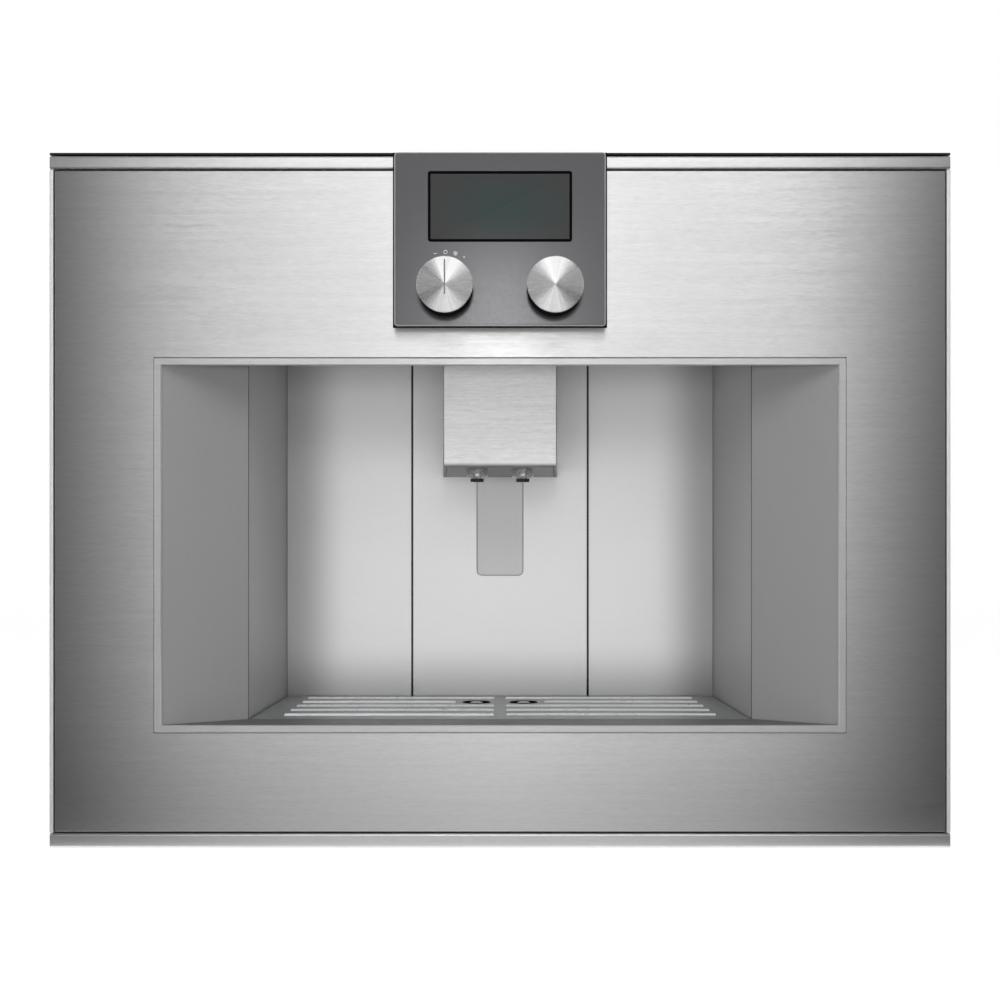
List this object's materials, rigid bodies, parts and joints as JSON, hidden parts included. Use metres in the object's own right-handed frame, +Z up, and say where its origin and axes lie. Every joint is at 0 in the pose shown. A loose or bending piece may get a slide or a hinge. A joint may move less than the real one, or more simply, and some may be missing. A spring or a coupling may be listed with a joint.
{
  "type": "built-in coffee machine",
  "caption": "Built-in coffee machine: a steel door with a splayed cup niche, a display and knobs, a sliding coffee outlet, a drip drawer and containers behind the door.",
  "frame": {"origin": "middle of the whole machine, left to right and front to back, on the plane that its foot rails stand on", "axes": "+X to the right seen from the front, -Y out of the door's face, +Z up"},
  "size_m": [0.59, 0.4314, 0.4583],
  "materials": {
    "brushed_steel": "fine horizontal brushing, satin",
    "bright_steel": "bright turned or polished steel",
    "grey_panel": "matt grey anodised sheet",
    "galvanised": "dull zinc-coated sheet",
    "black_plastic": "black, finely grained",
    "grey_plastic": "dark grey, satin",
    "clear_plastic": "clear moulded plastic",
    "screen": "dark glass, bare",
    "boiler": "dull copper-brass",
    "circuit": "green board",
    "rubber": "black rubber"
  },
  "bodies": {
    "housing": {"base_plate": "galvanised", "foot_rail_left": "rubber", "foot_rail_right": "rubber", "left_side_panel": "galvanised", "right_side_panel": "galvanised", "rear_cover": "galvanised", "top_cover": "galvanised", "top_deck": "grey_panel", "front_frame": "black_plastic", "niche_left_wall": "grey_panel", "niche_right_wall": "grey_panel", "niche_back_left": "grey_panel", "niche_back_right": "grey_panel", "niche_centre_panel": "grey_panel", "outlet_guide_frame": "grey_plastic", "guide_rod_left": "bright_steel", "guide_rod_right": "bright_steel", "boiler_shelf": "galvanised", "steam_boiler": "boiler", "brew_boiler": "boiler", "grinder_body": "black_plastic", "grinder_motor": "galvanised", "pump": "grey_plastic", "brew_unit": "grey_plastic", "brew_cover": "black_plastic", "power_board": "circuit", "mains_inlet": "black_plastic", "hinge_bracket_upper": "galvanised", "hinge_bracket_lower": "galvanised"},
    "door": {"door_panel": "brushed_steel", "door_trim_top": "brushed_steel", "door_trim_bottom": "brushed_steel", "door_trim_left": "brushed_steel", "door_trim_right": "brushed_steel", "niche_trim": "bright_steel", "door_reveal": "grey_panel", "door_liner": "black_plastic", "display_housing": "black_plastic", "display_plate": "brushed_steel", "display_screen": "screen", "hinge_leaf_upper": "galvanised", "hinge_leaf_lower": "galvanised"},
    "selector": {"selector_knob": "bright_steel"},
    "menu": {"menu_knob": "bright_steel"},
    "outlet": {"outlet_carriage": "grey_plastic", "outlet_shell": "grey_panel", "outlet_base": "grey_plastic", "nozzle_left": "bright_steel", "nozzle_right": "bright_steel"},
    "drawer": {"drip_tray": "black_plastic", "grounds_container": "grey_plastic"},
    "grate": {"drip_grate": "grey_panel", "drain_left": "bright_steel", "drain_right": "bright_steel"},
    "tank": {"water_tank": "clear_plastic", "water_tank_lid": "grey_plastic"},
    "milk": {"milk_container": "clear_plastic", "milk_lid": "grey_plastic"},
    "beans": {"bean_container": "black_plastic", "bean_lid": "grey_plastic"}
  },
  "joints": [
    {"name": "door_swing", "type": "hinge", "parent": "housing", "child": "door", "pos_m": [-0.2905, -0.14035, 0.2295], "axis": [0, 0, -1], "range_deg": [0, 110]},
    {"name": "selector_turn", "type": "hinge", "parent": "door", "child": "selector", "pos_m": [-0.0353, -0.20435, 0.3668], "axis": [0, 1, 0], "range_deg": [-17.5, 35]},
    {"name": "menu_turn", "type": "hinge", "parent": "door", "child": "menu", "pos_m": [0.0353, -0.20435, 0.3668], "axis": [0, 1, 0], "continuous": true},
    {"name": "outlet_slide", "type": "slide", "parent": "housing", "child": "outlet", "axis": [0, 0, 1], "range_m": [-0.075, 0]},
    {"name": "drawer_slide", "type": "slide", "parent": "housing", "child": "drawer", "axis": [0, -1, 0], "range_m": [0, 0.18]},
    {"name": "grate_lift", "type": "slide", "parent": "drawer", "child": "grate", "axis": [0, 0, 1], "range_m": [0, 0.06]},
    {"name": "tank_slide", "type": "slide", "parent": "housing", "child": "tank", "axis": [0, -1, 0], "range_m": [0, 0.2]},
    {"name": "milk_slide", "type": "slide", "parent": "housing", "child": "milk", "axis": [0, -1, 0], "range_m": [0, 0.12]},
    {"name": "bean_slide", "type": "slide", "parent": "housing", "child": "beans", "axis": [0, -1, 0], "range_m": [0, 0.18]}
  ],
  "couplings": [
    {"joint": "drawer_slide", "follows": "door_swing", "m_per_rad": 0.0937},
    {"joint": "tank_slide", "follows": "door_swing", "m_per_rad": 0.1041},
    {"joint": "milk_slide", "follows": "door_swing", "m_per_rad": 0.0625},
    {"joint": "bean_slide", "follows": "door_swing", "m_per_rad": 0.0937}
  ]
}
